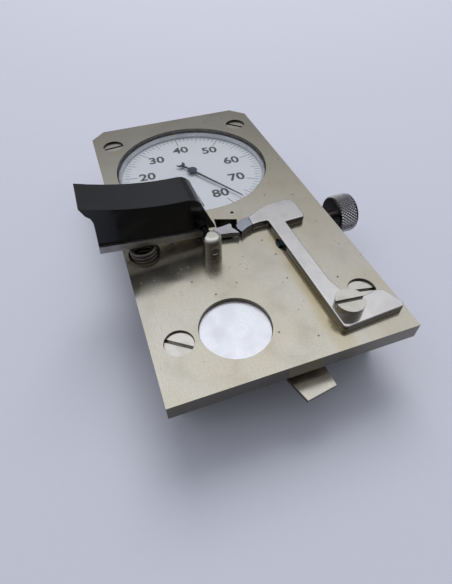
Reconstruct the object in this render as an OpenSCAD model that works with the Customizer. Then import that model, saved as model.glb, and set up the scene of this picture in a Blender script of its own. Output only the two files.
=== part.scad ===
// Bench dial thickness gauge with a thumb lever, for watch parts.
// Millimetres. +X to the right, +Y away from the user, +Z up.
// The origin is the centre of the rubber base pad's underside, below the centre of the top plate.
// Places on the plate are given from its near left corner, as from_left(x) and from_front(y).

/* [Top plate] */
// Width of the top plate
plate_w = 60; // [58:0.5:80]
// Length of the top plate, front to back
plate_l = 115.5; // [114.5:0.5:150]
// Thickness of the top plate
plate_t = 4.5; // [4:0.25:6]
// Size of the 45 degree cut on each far corner
corner_cut = 4.8; // [1:0.1:6]

/* [Housing] */
// Height of the housing wall under the plate
housing_h = 12.3; // [12.3:0.1:20]
// Thickness of the housing wall
wall_t = 2.6; // [1.6:0.1:2.6]
// How far the housing stands in from the plate's long sides
housing_in_x = 2.5; // [1.5:0.1:2.5]
// How far the housing stands in from the plate's ends
housing_in_y = 8; // [6:0.5:8]
// Thickness of the base cover
cover_t = 2; // [1.8:0.1:4]
// Thickness of the rubber base pad
pad_t = 1.2; // [0.8:0.1:3]

/* [Dial] */
// Radius of the dial opening in the top plate
dial_hole_r = 25.1; // [22:0.1:25.5]
// Distance of the dial centre from the left edge of the plate
dial_from_left = 29.7; // [29:0.1:31]
// Distance of the dial centre from the front edge of the plate
dial_from_front = 82.3; // [82:0.1:82.6]
// Depth of the dial face below the plate's top
dial_depth = 3; // [2.6:0.1:3.2]
// Thickness of the dial
dial_t = 0.6; // [0.4:0.1:0.8]
// Thickness of the crystal
crystal_t = 1; // [0.6:0.1:1.1]
// Value shown while the jaws stand open, in hundredths of a millimetre
open_reading = 77.4; // [60:0.1:79]
// Length of the needle from its hub to its tip, for a dial opening of radius 25.1
needle_l = 22; // [16:0.5:22]

/* [Corner screws] */
// Radius of a plate screw's head
screw_head_r = 3.4; // [2.6:0.1:3.4]
// Thickness of a plate screw's head
screw_head_t = 1.7; // [1.2:0.1:1.8]
// Radius of a plate screw's shank
screw_r = 1.6; // [1.2:0.1:1.8]
// Distance of the screws from the long sides
screw_in_x = 6.6; // [6.2:0.1:7]
// Distance of the near screws from the front edge
screw_in_front = 14.2; // [13.8:0.1:15]
// Distance of the far screws from the back edge
screw_in_back = 11.6; // [11.4:0.1:13]

/* [Thumb lever] */
// Distance of the lever's axle from the left edge of the plate
axle_from_left = 22.5; // [22.3:0.1:22.7]
// Height of the lever's axle above the plate
axle_h = 3.5; // [3.3:0.1:3.8]
// Radius of the lever's axle
axle_r = 1.1; // [0.8:0.05:1.2]
// Angle at which the lever's free end stands up at rest
lever_rise = 5.4; // [4.8:0.1:6]
// Angle of a full press of the lever
lever_press = 4.3; // [4.3:0.1:4.5]
// Width of the lever's arm
arm_w = 8; // [6:0.5:8]
// Thickness of the lever's arm
arm_t = 2.1; // [1.8:0.1:2.4]
// Length of the arm to the left of the axle
arm_l = 27.9; // [26:0.1:28.3]
// Depth of the thumb pad, front to back
thumb_w = 11; // [9:0.5:11]
// Radius of the lever's front post
post_r = 2.5; // [2:0.1:2.6]
// Height of the lever's front post above the plate
post_h = 7.2; // [6:0.1:8]
// Outer radius of the lever's return spring
return_spring_r = 3.8; // [3:0.1:4]
// Wire diameter of the return spring
return_wire_d = 0.8; // [0.5:0.05:0.9]
// Depth of the pocket that holds the return spring
pocket_depth = 3; // [2:0.1:3.2]

/* [Jaws] */
// Opening between the jaws at rest
jaw_travel = 0.774; // [0.6:0.001:0.79]
// Thickness of the anvil arm
anvil_t = 2; // [1.5:0.1:2.5]
// Thickness of the moving jaw's blade
jaw_t = 1.5; // [1.2:0.1:1.5]
// Radius of the anvil's clamp screw head
clamp_head_r = 3.5; // [3:0.1:3.6]
// Height of the anvil's clamp screw head
clamp_head_h = 2.4; // [1.8:0.1:3]

/* [Movement] */
// Tooth size of the whole train
gear_module = 0.25; // [0.24:0.005:0.25]
// Full-circle tooth count that the sector is a part of
sector_teeth = 160; // [160]
// Teeth of the pinion that meets the sector
pinion_teeth = 20; // [20]
// Teeth of the intermediate wheel
wheel_teeth = 96; // [96]
// Teeth of the centre pinion
centre_teeth = 12; // [12]
// Radius of the carriage's guide rods
rod_r = 1; // [0.8:0.05:1.1]
// Thickness of the jaw carriage
carriage_t = 2.9; // [2.8:0.05:3]

/* [Knob] */
// Radius of the knurled knob
knob_r = 6.2; // [5:0.1:6.4]
// Width of the knurled knob
knob_w = 6.6; // [5:0.1:8]
// Gap between the plate's right edge and the knob
knob_gap = 6; // [3:0.1:8]
// Distance of the knob's axis from the front edge of the plate
knob_from_front = 49.5; // [49:0.1:50]
// Depth of the knob's axis below the plate's top
knob_depth = 7.2; // [7.1:0.1:7.4]
// Radius of the knob's spindle
spindle_r = 1.4; // [1.1:0.1:1.5]
// Number of grooves round the knob
knurl_count = 24; // [16:1:28]

/* [Lock lever] */
// Thickness of the lock lever's strip
lock_t = 1; // [0.8:0.1:1.2]
// Depth of the strip's inner end below the plate's top
lock_depth = 10; // [9.8:0.1:10.2]
// Depth of the strip's tab below the plate's top
tab_depth = 6.8; // [6.2:0.1:8.5]
// How far the tab stands out past the front edge
lock_reach = 5.3; // [2:0.1:7]

/* [Hidden] */

$fn = 64;
slack = 0.05;         // radial clearance of a running fit
cut = 1;              // how far a cutting shape passes a face
close_gap = 0.01;     // what is left between the jaws when they close

// Heights
plate_z = pad_t + cover_t + housing_h;
top_z = plate_z + plate_t;
axle_z = top_z + axle_h;
dial_z = top_z - dial_depth;
carriage_z = plate_z - 0.4 - carriage_t;
rod_z = carriage_z + carriage_t / 2;
knob_z = top_z - knob_depth;
lock_z = top_z - lock_depth;
tab_z = top_z - tab_depth;
movement_t = 1.5;
movement_z = plate_z - movement_t;
bridge_t = 1.4;
bridge_z = plate_z - 9.9;
wheel_t = 0.8;
wheel_z = plate_z - 3.9;
sector_z = plate_z - 6.2;

// Places in plan
function from_left(x) = x - plate_w / 2;
function from_front(y) = y - plate_l / 2;
function place(p) = [from_left(p[0]), from_front(p[1])];
function polar(a, r) = [r * cos(a), r * sin(a)];
dial_c = [from_left(dial_from_left), from_front(dial_from_front)];
axle_x = from_left(axle_from_left);
badge_c = place([20, 14.1]);
badge_r = 8.55;
badge_t = 0.5;
badge_sink = 1.1;
centre_screw_c = place([43.5, 35.7]);
needle_reach = needle_l * dial_hole_r / 25.1;
clamp_c = place([46.1, 9.2]);
spring_c = place([5.5, 45.5]);
post_y = from_front(38.2);
arm_y = from_front(44.2);

// Screws through the plate: place and slot angle
plate_screw_list = [
    [-plate_w / 2 + screw_in_x, -plate_l / 2 + screw_in_front, -36],
    [plate_w / 2 - screw_in_x, -plate_l / 2 + screw_in_front, -11],
    [-plate_w / 2 + screw_in_x, plate_l / 2 - screw_in_back, 7],
    [plate_w / 2 - screw_in_x, plate_l / 2 - screw_in_back, -44]];
head_sink = 0.6;
boss_r = screw_r + 1.8;

// Gear train: each mesh turns the follower eight times as far
sector_r = gear_module * sector_teeth / 2;
pinion_r = gear_module * pinion_teeth / 2;
wheel_r = gear_module * wheel_teeth / 2;
centre_r = gear_module * centre_teeth / 2;
train_ratio = sector_teeth / pinion_teeth * wheel_teeth / centre_teeth;
needle_turn = open_reading * 4;
sector_turn = needle_turn / train_ratio;
sector_arm = jaw_travel / (sector_turn * PI / 180);
finger_l = jaw_travel / (lever_press * PI / 180);
sector_lean = 21.65;
wheel_c = dial_c - [0, wheel_r + centre_r];
sector_c = wheel_c + polar(sector_lean - 90, sector_r + pinion_r);
drive_c = sector_c - [0, sector_arm];
arbor_r = 0.6;
pivot_r = 0.45;
pin_r = 0.6;
nose_r = 1;
nose_w = 3.4;
finger_y = from_front(47.6);

// Carriage guides
rod_y = [from_front(43.2), from_front(51.3)];
block_x = [from_left(12), from_left(40.4)];
block_l = 2.4;
block_w = 12;
carriage_box = [[from_left(19.5), from_front(41.6)], [from_left(34), from_front(53)]];
lug_y = from_front(54.4);
spring_lug_x = from_left(33);
anchor_x = from_left(46.6);
anchor_l = 3.6;

// Movement fixings
nut_half = 2.8;
movement_front = max(57.6, knob_from_front + nut_half + 0.4);
movement_box = [[from_left(5.5), from_front(movement_front)], [from_left(54.5), from_front(100)]];
movement_fix = [for (sx = [-1, 1], sy = [-1, 1]) dial_c + [sx * 22, sy * 15.9]];
pillar_fix = [dial_c + [-15, -10.3], dial_c + [15, -10.3], dial_c + [0, 11]];
front_pillar = place([45, 41.3]);

// Hairspring: a flat spiral round the centre arbor, held by a stud at its outer end
spiral_turns = 4;
spiral_r = 1.75;
spiral_pitch = 1.1;
spiral_strip = 0.22;
stud_r = 0.5;
stud_c = dial_c + [spiral_r + spiral_pitch * spiral_turns + spiral_strip + stud_r + 0.02, 0];
bush_wall = 1;
lock_c = place([33, 17]);
shoe_c = place([27.6, 39.5]);

// ---------- shared shapes ----------

// A cylinder of radius r from height z0 to z1 at plan point p
module post(p, r, z0, z1) {
    translate([p[0], p[1], z0])
        cylinder(r = r, h = z1 - z0);
}

// A ring between two radii
module ring(p, r_in, r_out, z0, z1) {
    difference() {
        post(p, r_out, z0, z1);
        post(p, r_in, z0 - cut, z1 + cut);
    }
}

// A box between two plan corners and two heights
module block(a, b, z0, z1) {
    translate([a[0], a[1], z0])
        cube([b[0] - a[0], b[1] - a[1], z1 - z0]);
}

// A flat bar with round ends of width w at plan points a and b
module bar(a, b, w, z0, z1) {
    d = b - a;
    waist = 0.9 * w;
    post(a, w / 2, z0, z1);
    post(b, w / 2, z0, z1);
    translate([a[0], a[1], z0])
        rotate([0, 0, atan2(d[1], d[0])])
            translate([0, -waist / 2, 0])
                cube([norm(d), waist, z1 - z0]);
}

// The same cylinder under the name that the cuts use
module bore(p, r, z0, z1) {
    post(p, r, z0, z1);
}

// A slotted screw, head up: head of radius hr and thickness ht whose top is at height z
module slotted_screw(p, z, hr, ht, r, l, turn, slot_w = 0.9, slot_d = 0.8) {
    difference() {
        union() {
            post(p, hr, z - ht, z);
            post(p, r, z - ht - l, z - ht);
        }
        translate([p[0], p[1], z - slot_d])
            rotate([0, 0, turn])
                translate([-hr - cut, -slot_w / 2, 0])
                    cube([2 * (hr + cut), slot_w, slot_d + cut]);
    }
}

// The same screw, head down, with its head's underside at height z
module slotted_screw_below(p, z, hr, ht, r, l, turn, slot_w = 0.7, slot_d = 0.6) {
    translate([p[0], p[1], z])
        mirror([0, 0, 1])
            slotted_screw([0, 0], 0, hr, ht, r, l, turn, slot_w, slot_d);
}

// Outline points of tooth k: straight flanks from the root circle to the tip circle
function tooth(teeth, k) =
    let (pitch = 360 / teeth,
         r = gear_module * teeth / 2,
         root = r - 1.15 * gear_module,
         tip = r + 0.9 * gear_module)
    [polar((k - 0.3) * pitch, root), polar((k - 0.12) * pitch, tip),
     polar((k + 0.12) * pitch, tip), polar((k + 0.3) * pitch, root)];

// A spur gear at plan point p, with one tooth at angle turn
module gear(p, teeth, turn, z0, z1) {
    outline = [for (k = [0 : teeth - 1]) each tooth(teeth, k)];
    translate([p[0], p[1], z0])
        rotate([0, 0, turn])
            linear_extrude(height = z1 - z0)
                polygon(outline);
}

// A coil of round wire of outer radius r, wire diameter d, height h and a count of turns
module coil(r, d, h, turns, sides = 8, steps = 20) {
    n = turns * steps;
    mid = r - d / 2;
    points = [for (i = [0 : n]) let (a = 360 * i / steps)
        each [for (j = [0 : sides - 1]) let (b = 360 * j / sides, q = mid + d / 2 * cos(b))
            [q * cos(a), q * sin(a), d / 2 + (h - d) * i / n + d / 2 * sin(b)]]];
    skin = [for (i = [0 : n - 1]) each [for (j = [0 : sides - 1]) let (k = (j + 1) % sides)
        [i * sides + j, (i + 1) * sides + j, (i + 1) * sides + k, i * sides + k]]];
    near_cap = [[for (j = [0 : sides - 1]) j]];
    far_cap = [[for (j = [0 : sides - 1]) n * sides + sides - 1 - j]];
    polyhedron(points, concat(skin, near_cap, far_cap));
}

// ---------- plate and housing ----------

module plate_outline() {
    x = plate_w / 2;
    y = plate_l / 2;
    polygon([[-x, -y], [x, -y], [x, y - corner_cut], [x - corner_cut, y],
             [-x + corner_cut, y], [-x, y - corner_cut]]);
}

// The opening in front of the dial through which the moving jaw reaches its carriage
module jaw_slot_outline() {
    polygon([place([27.6, 52.4]), place([33.9, 50.1]), place([31.7, 44.2]), place([26.5, 43.9])]);
}

module top_plate() {
    color([0.78, 0.77, 0.72])
    difference() {
        translate([0, 0, plate_z])
            linear_extrude(height = plate_t)
                plate_outline();
        bore(dial_c, dial_hole_r, plate_z - cut, top_z + cut);
        bore(badge_c, badge_r + slack, top_z - badge_sink - badge_t, top_z + cut);
        for (s = plate_screw_list) {
            bore([s[0], s[1]], screw_head_r + 0.1, top_z - head_sink - screw_head_t, top_z + cut);
            bore([s[0], s[1]], screw_r + slack, plate_z - cut, top_z);
        }
        translate([0, 0, plate_z - cut])
            linear_extrude(height = plate_t + 2 * cut)
                jaw_slot_outline();
        bore(place([33.6, 53.5]), 0.5, top_z - 2.5, top_z + cut);
        bore(spring_c, return_spring_r + 0.5, top_z - pocket_depth, top_z + cut);
        block([axle_x - 2, finger_y - nose_w / 2 - 0.4], [axle_x + 2.2, finger_y + nose_w / 2 + 0.4],
              plate_z - cut, top_z + cut);
        bore([axle_x, post_y], 1.5, top_z - 3, top_z + cut);
        bore(clamp_c, screw_r, plate_z - cut, top_z + cut);
        bore(centre_screw_c, 3.45, top_z - 1.4, top_z + cut);
        bore(centre_screw_c, 1.5, top_z - 4, top_z);
        bore(sector_c, pivot_r + slack, plate_z - cut, plate_z + 2);
        for (p = movement_fix)
            bore(p, 0.8, plate_z - cut, plate_z + 3);
        for (x = block_x, y = [0, 1])
            bore([x + block_l / 2, from_front(45.2 + 4.2 * y)], 0.6, plate_z - cut, plate_z + 3);
        for (y = [0, 1])
            bore([axle_x, bearing_y() + 1 + 2 * y - 0.5], 0.5, top_z - 2.5, top_z + cut);
    }
}

module housing() {
    x = plate_w / 2 - housing_in_x;
    y = plate_l / 2 - housing_in_y;
    z0 = pad_t + cover_t;
    color([0.35, 0.35, 0.34])
    difference() {
        union() {
            difference() {
                block([-x, -y], [x, y], z0, plate_z);
                block([-x + wall_t, -y + wall_t], [x - wall_t, y - wall_t], z0 - cut, plate_z + cut);
            }
            for (s = plate_screw_list) {
                corner = [sign(s[0]) * (x - 1), sign(s[1]) * (y - 1)];
                post([s[0], s[1]], boss_r, z0, plate_z);
                block([min(s[0], corner[0]), min(s[1], corner[1])],
                      [max(s[0], corner[0]), max(s[1], corner[1])], z0, plate_z);
            }
        }
        for (s = plate_screw_list)
            bore([s[0], s[1]], screw_r + slack, z0 - cut, plate_z + cut);
        block([lock_c[0] - 7, -y - cut], [lock_c[0] + 8, -y + wall_t + cut], lock_z - 1.6, lock_z + 0.6);
        translate([x - wall_t - cut, from_front(knob_from_front), knob_z])
            rotate([0, 90, 0])
                cylinder(r = spindle_r + bush_wall, h = wall_t + 2 * cut);
    }
}

module base_cover() {
    x = plate_w / 2 - housing_in_x;
    y = plate_l / 2 - housing_in_y;
    color([0.45, 0.45, 0.44])
    difference() {
        block([-x, -y], [x, y], pad_t, pad_t + cover_t);
        for (s = plate_screw_list) {
            bore([s[0], s[1]], screw_r + 0.1, pad_t - cut, pad_t + cover_t + cut);
            bore([s[0], s[1]], 2.9, pad_t - cut, pad_t + 1.2);
        }
    }
}

module base_pad() {
    x = plate_w / 2 - housing_in_x - 2;
    y = plate_l / 2 - housing_in_y - 2;
    color([0.1, 0.1, 0.1])
    difference() {
        block([-x, -y], [x, y], 0, pad_t);
        for (s = plate_screw_list)
            bore([s[0], s[1]], 3.2, -cut, pad_t + cut);
    }
}

module plate_screws() {
    color([0.82, 0.8, 0.75])
    for (s = plate_screw_list)
        slotted_screw([s[0], s[1]], top_z - head_sink, screw_head_r, screw_head_t, screw_r, 5, s[2]);
}

module cover_screws() {
    color([0.7, 0.7, 0.7])
    for (s = plate_screw_list)
        slotted_screw_below([s[0], s[1]], pad_t, 2.8, 1.2, screw_r, 4.8, 20);
}

module badge_disc() {
    color([0.94, 0.94, 0.96])
        post(badge_c, badge_r, top_z - badge_sink - badge_t, top_z - badge_sink);
}

module centre_screw() {
    color([0.2, 0.32, 0.36])
        slotted_screw(centre_screw_c, top_z - 0.2, 3.35, 1.2, 1.45, 2.4, 15, 0.8, 0.6);
}

// ---------- anvil ----------

tip_x = 36.4;        // where the hard tip meets the arm
face_a = [32.45, 42.3];
face_b = [31.7, 44];

// T-shaped arm: cross head at the jaw, stem, and a foot at the front edge
module anvil_outline() {
    polygon([for (p = [
        [tip_x, 44.2], [38.5, 44.5], [41.1, 44.4], [42.1, 12.7], [42.3, 4.7], [43, 4.1],
        [58.3, 5], [59, 6.1], [56.8, 11], [54.7, 11.6], [50.7, 10.7], [47.6, 13], [46.2, 18.3],
        [45.6, 42.2], [51.3, 42.4], [51.9, 43.1], [51.9, 48.5], [51.4, 50.6], [49.4, 51.6],
        [43.7, 51.2], [40.5, 50], [tip_x, 47.7]]) place(p)]);
}

module anvil_arm() {
    color([0.7, 0.7, 0.71])
    difference() {
        translate([0, 0, top_z])
            linear_extrude(height = anvil_t)
                anvil_outline();
        bore(clamp_c, screw_r + 0.15, top_z - cut, top_z + anvil_t + cut);
    }
}

module anvil_tip() {
    color([0.58, 0.62, 0.68])
    translate([0, 0, top_z])
        linear_extrude(height = anvil_t)
            polygon([for (p = [face_a, [34.6, 43.6], [tip_x, 44.2], [tip_x, 47.7], [35.6, 47.8],
                               [32.9, 46.8], [31.8, 45.4], face_b]) place(p)]);
}

module anvil_screw() {
    color([0.66, 0.64, 0.58])
        slotted_screw(clamp_c, top_z + anvil_t + clamp_head_h, clamp_head_r, clamp_head_h,
                      screw_r, 5.5, -6, 0.9, 1);
}

// ---------- dial ----------

module dial_plate() {
    color([0.86, 0.86, 0.88])
        ring(dial_c, arbor_r + 0.3, dial_hole_r - 0.2, dial_z - dial_t, dial_z);
}

module dial_spacer() {
    color([0.8, 0.68, 0.4])
        ring(dial_c, dial_hole_r - 4, dial_hole_r - 0.3, plate_z, dial_z - dial_t);
}

module dial_ring() {
    color([0.75, 0.75, 0.76])
        ring(dial_c, dial_hole_r - 1.1, dial_hole_r - 0.15, dial_z, top_z - 0.3 - crystal_t);
}

module crystal() {
    color([0.9, 0.93, 0.95, 0.3])
        post(dial_c, dial_hole_r - 0.15, top_z - 0.3 - crystal_t, top_z - 0.3);
}

needle_z = dial_z + 0.75;
needle_t = 0.25;
tail_l = 4.8;
needle_angle = 90 - (needle_turn - 160);

module needle() {
    color([0.1, 0.16, 0.35])
    translate([dial_c[0], dial_c[1], needle_z])
        rotate([0, 0, needle_angle])
            difference() {
                union() {
                    linear_extrude(height = needle_t)
                        polygon([[-tail_l, -0.3], [-tail_l, 0.3], [0, 0.42], [needle_reach, 0.1],
                                 [needle_reach, -0.1], [0, -0.42]]);
                    post([0, 0], 1.4, 0, needle_t);
                    difference() {
                        post([-tail_l - 0.8, 0], 1.5, 0, needle_t);
                        post([-tail_l - 1.9, 0], 1.35, -cut, needle_t + cut);
                    }
                }
                bore([0, 0], arbor_r, -cut, needle_t + cut);
            }
}

module needle_cap() {
    color([0.08, 0.1, 0.2])
    difference() {
        translate([dial_c[0], dial_c[1], needle_z + needle_t])
            rotate_extrude()
                polygon([[0, 0], [1.7, 0], [1.7, 0.2], [1.2, 0.5], [0, 0.6]]);
        bore(dial_c, arbor_r, needle_z, needle_z + needle_t + 0.3);
    }
}

// ---------- thumb lever ----------

// Turns its children, drawn for a level lever, to the lever's place at rest
module at_rest() {
    translate([axle_x, 0, axle_z])
        rotate([0, lever_rise, 0])
            translate([-axle_x, 0, -axle_z])
                children();
}

// A cylinder along Y at plan place x and height z
module cross_rod(x, z, r, y0, y1) {
    translate([x, y0, z])
        rotate([-90, 0, 0])
            cylinder(r = r, h = y1 - y0);
}

hub_r = 2.4;
pad_skin = 1.5;
function bearing_y() = arm_y + arm_w + 0.3;
bearing_w = 2.6;
arm_top = axle_h + 0.2;
pad_y = from_front(45);
pad_screw_x = [axle_x - 22, axle_x - 9.5];
cavity_y = bearing_y() + bearing_w - 0.3;
hub_y0 = pad_y + pad_skin + 0.2;
hub_y1 = arm_y + arm_w - 0.2;

module lever_arm() {
    color([0.5, 0.5, 0.5])
    difference() {
        union() {
            at_rest()
                difference() {
                    block([axle_x - arm_l, arm_y], [axle_x + 1, arm_y + arm_w],
                          top_z + arm_top - arm_t, top_z + arm_top);
                    for (x = pad_screw_x)
                        bore([x, arm_y + arm_w / 2], 0.85, top_z - cut, top_z + arm_top + cut);
                }
            cross_rod(axle_x, axle_z, hub_r, hub_y0, hub_y1);
            block([axle_x - 0.8, finger_y - nose_w / 2], [axle_x + 0.8, finger_y + nose_w / 2],
                  axle_z - finger_l, axle_z - hub_r + 0.4);
            cross_rod(axle_x, axle_z - finger_l, nose_r, finger_y - nose_w / 2, finger_y + nose_w / 2);
        }
        cross_rod(axle_x, axle_z, axle_r + slack, arm_y - cut, arm_y + arm_w + cut);
    }
}

// Side outline of the thumb pad for a level lever: x from the axle, z from the plate
pad_left = -arm_l - 2.95;
pad_end = 3.2;
function saddle(x) = 13.2 + 0.0062 * pow(x + 12.5, 2);
module pad_outline() {
    left = [for (i = [0 : 8]) let (x = pad_left - i * (pad_left + 4.5) / 8) [x, saddle(x)]];
    corner = [for (i = [1 : 5]) let (a = 90 - 15 * i) [-4.4 + 4 * cos(a), 9.6 + 4 * sin(a)]];
    polygon(concat([for (p = left) if (p[0] < -4.2) p], corner,
        [[1.1, 7.6], [2.6, 4.9], [pad_end, arm_top + 0.1], [pad_end - 0.2, arm_top], [-arm_l, arm_top],
         [-arm_l - 0.05, 7.7], [-arm_l - 0.15, 10.7], [-arm_l - 0.6, 12.1], [-arm_l - 1.75, 13.1]]));
}

module thumb_pad() {
    color([0.06, 0.06, 0.07])
    at_rest()
        difference() {
            translate([axle_x, pad_y + thumb_w, top_z])
                rotate([90, 0, 0])
                    linear_extrude(height = thumb_w)
                        pad_outline();
            cross_rod(axle_x, axle_z, hub_r + 0.5, pad_y + pad_skin, cavity_y);
            block([axle_x - 3.2, pad_y + pad_skin], [axle_x + pad_end + cut, cavity_y],
                  top_z, top_z + axle_h + 3.4);
            cross_rod(axle_x, axle_z, axle_r + 0.35, pad_y - cut, pad_y + pad_skin + cut);
            block([axle_x - axle_r - 0.35, pad_y - cut], [axle_x + axle_r + 0.35, pad_y + pad_skin + cut],
                  top_z, axle_z);
            for (x = pad_screw_x)
                bore([x, arm_y + arm_w / 2], 0.7, top_z, top_z + arm_top + 5);
        }
}

module pad_screws() {
    color([0.6, 0.6, 0.6])
    at_rest()
        for (x = pad_screw_x)
            slotted_screw_below([x, arm_y + arm_w / 2], top_z + arm_top - arm_t - 0.5, 1.3, 0.5, 0.7,
                                arm_t + 4, 0, 0.4, 0.3);
}

module lever_post() {
    color([0.72, 0.71, 0.68])
    difference() {
        union() {
            translate([axle_x, post_y, top_z])
                rotate_extrude()
                    polygon([[0, 0], [post_r, 0], [post_r, post_h - 0.8], [post_r - 0.5, post_h - 0.25],
                             [post_r - 1.3, post_h], [0, post_h]]);
            post([axle_x, post_y], 1.5, top_z - 3, top_z);
        }
        cross_rod(axle_x, axle_z, axle_r, post_y - post_r - cut, post_y + post_r + cut);
    }
}

module rear_bearing() {
    color([0.55, 0.55, 0.55])
    difference() {
        union() {
            block([axle_x - 1.9, bearing_y()], [axle_x + 1.9, bearing_y() + bearing_w - 0.6],
                  top_z, axle_z);
            cross_rod(axle_x, axle_z, 1.9, bearing_y(), bearing_y() + bearing_w - 0.6);
            for (y = [0, 1])
                post([axle_x, bearing_y() + 1 + 2 * y - 0.5], 0.5, top_z - 2.5, top_z);
        }
        cross_rod(axle_x, axle_z, axle_r, bearing_y() - cut, bearing_y() + bearing_w + cut);
    }
}

module lever_axle() {
    color([0.62, 0.62, 0.62])
        cross_rod(axle_x, axle_z, axle_r, post_y - post_r + 0.15, bearing_y() + bearing_w - 0.6);
}

module return_spring() {
    h = pocket_depth + arm_top - arm_t - 0.05
        + (axle_x - spring_c[0] - return_spring_r) * tan(lever_rise);
    color([0.25, 0.24, 0.22])
    translate([spring_c[0], spring_c[1], top_z - pocket_depth])
        coil(return_spring_r, return_wire_d, h, 4);
}

// ---------- moving jaw ----------

jaw_z = top_z + 0.5;
shift = [-jaw_travel - close_gap, 0];
jaw_stem = [[27.4, 44.5], [30.1, 46.1]];

module jaw() {
    color([0.62, 0.6, 0.66])
    union() {
        translate([0, 0, jaw_z])
            linear_extrude(height = jaw_t)
                polygon(concat([for (p = [[25.4, 43.4], [26.5, 43.3], [29.6, 42.8]]) place(p)],
                    [place(face_a) + shift + [0, -0.1], place(face_b) + shift],
                    [for (p = [[30.4, 44.7], [30.7, 46.2], [30.4, 46.7], [27.7, 46.2], [25.4, 46.2]])
                        place(p)]));
        block(place(jaw_stem[0]), place(jaw_stem[1]), carriage_z + carriage_t, jaw_z + 0.2);
    }
}

module jaw_carriage() {
    a = carriage_box[0];
    b = carriage_box[1];
    z1 = carriage_z + carriage_t;
    stem_c = (place(jaw_stem[0]) + place(jaw_stem[1])) / 2;
    color([0.6, 0.58, 0.5])
    difference() {
        union() {
            block(a, b, carriage_z, z1);
            block([from_left(30), drive_c[1] - 1.4], [drive_c[0] + 1.4, a[1] + cut], carriage_z, z1);
            block([spring_lug_x - 1.2, b[1] - cut], [spring_lug_x + 1, lug_y + 1], carriage_z, z1);
        }
        for (y = rod_y)
            translate([a[0] - cut, y, rod_z])
                rotate([0, 90, 0])
                    cylinder(r = rod_r + slack, h = 30);
        block([axle_x - nose_r - 0.04, finger_y - nose_w / 2 - 0.3],
              [axle_x + nose_r + 0.04, finger_y + nose_w / 2 + 0.3], carriage_z - cut, z1 + cut);
        bore(drive_c, pin_r, carriage_z - cut, z1 - 0.6);
        bore(stem_c, 0.5, carriage_z - cut, z1 + cut);
        bore([spring_lug_x, lug_y], 0.35, carriage_z - cut, z1 + cut);
    }
}

module jaw_screw() {
    stem_c = (place(jaw_stem[0]) + place(jaw_stem[1])) / 2;
    color([0.6, 0.6, 0.6])
        slotted_screw_below(stem_c, carriage_z - 0.6, 1.1, 0.6, 0.5, carriage_t, 0, 0.3, 0.3);
}

module drive_pin() {
    color([0.6, 0.6, 0.62])
        post(drive_c, pin_r, sector_z - 0.4, carriage_z + carriage_t - 0.6);
}

module guide_rods() {
    color([0.75, 0.75, 0.76])
    for (y = rod_y)
        translate([block_x[0] - 0.6, y, rod_z])
            rotate([0, 90, 0])
                cylinder(r = rod_r, h = block_x[1] + block_l + 0.6 - block_x[0] + 0.6);
}

module guide_blocks() {
    y0 = (rod_y[0] + rod_y[1]) / 2 - block_w / 2 + 0.1;
    color([0.72, 0.6, 0.32])
    for (x = block_x)
        difference() {
            block([x, y0], [x + block_l, y0 + block_w - 0.4], carriage_z, plate_z);
            for (y = rod_y)
                translate([x - cut, y, rod_z])
                    rotate([0, 90, 0])
                        cylinder(r = rod_r, h = block_l + 2 * cut);
            for (y = [0, 1])
                bore([x + block_l / 2, from_front(45.2 + 4.2 * y)], 0.6, carriage_z - cut, plate_z + cut);
        }
}

module guide_screws() {
    color([0.6, 0.6, 0.6])
    for (x = block_x, y = [0, 1])
        slotted_screw_below([x + block_l / 2, from_front(45.2 + 4.2 * y)], carriage_z - 0.6,
                            1.1, 0.6, 0.55, plate_z + 2.6 - carriage_z, 30, 0.4, 0.35);
}

// ---------- movement ----------

module movement_plate() {
    color([0.78, 0.66, 0.36])
    difference() {
        block(movement_box[0], movement_box[1], movement_z, plate_z);
        for (s = [2, 3])
            bore([plate_screw_list[s][0], plate_screw_list[s][1]], boss_r + 0.3,
                 movement_z - cut, plate_z + cut);
        bore(dial_c, arbor_r + slack, movement_z - cut, plate_z + cut);
        bore(wheel_c, pivot_r + slack, movement_z - cut, plate_z + cut);
        for (p = movement_fix)
            bore(p, 0.85, movement_z - cut, plate_z + cut);
        for (p = pillar_fix)
            bore(p, 0.7, movement_z - cut, plate_z + cut);
    }
}

module movement_screws() {
    color([0.2, 0.26, 0.45])
    for (p = movement_fix)
        slotted_screw_below(p, movement_z - 0.7, 1.5, 0.7, 0.8, movement_t + 2.6, 40, 0.4, 0.4);
}

module movement_bridge() {
    z1 = bridge_z + bridge_t;
    color([0.78, 0.66, 0.36])
    difference() {
        union() {
            bar(front_pillar, sector_c, 4, bridge_z, z1);
            bar(sector_c, wheel_c, 4, bridge_z, z1);
            bar(wheel_c, pillar_fix[2], 4.4, bridge_z, z1);
            bar(pillar_fix[0], wheel_c, 4, bridge_z, z1);
            bar(pillar_fix[1], wheel_c, 4, bridge_z, z1);
            bar(dial_c, stud_c, 3, bridge_z, z1);
        }
        for (p = [sector_c, wheel_c, dial_c])
            bore(p, pivot_r + slack, bridge_z + 0.4, z1 + cut);
        for (p = concat(pillar_fix, [front_pillar]))
            bore(p, 0.7, bridge_z - cut, z1 + cut);
        bore(stud_c, stud_r, bridge_z + 0.4, z1 + cut);
    }
}

module bridge_pillars() {
    z0 = bridge_z + bridge_t;
    color([0.8, 0.68, 0.4])
    union() {
        for (p = pillar_fix)
            difference() {
                post(p, 1.5, z0, movement_z);
                bore(p, 0.7, z0 - cut, movement_z + cut);
            }
        difference() {
            post(front_pillar, 1.5, z0, plate_z);
            bore(front_pillar, 0.7, z0 - cut, z0 + 4);
        }
    }
}

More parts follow.
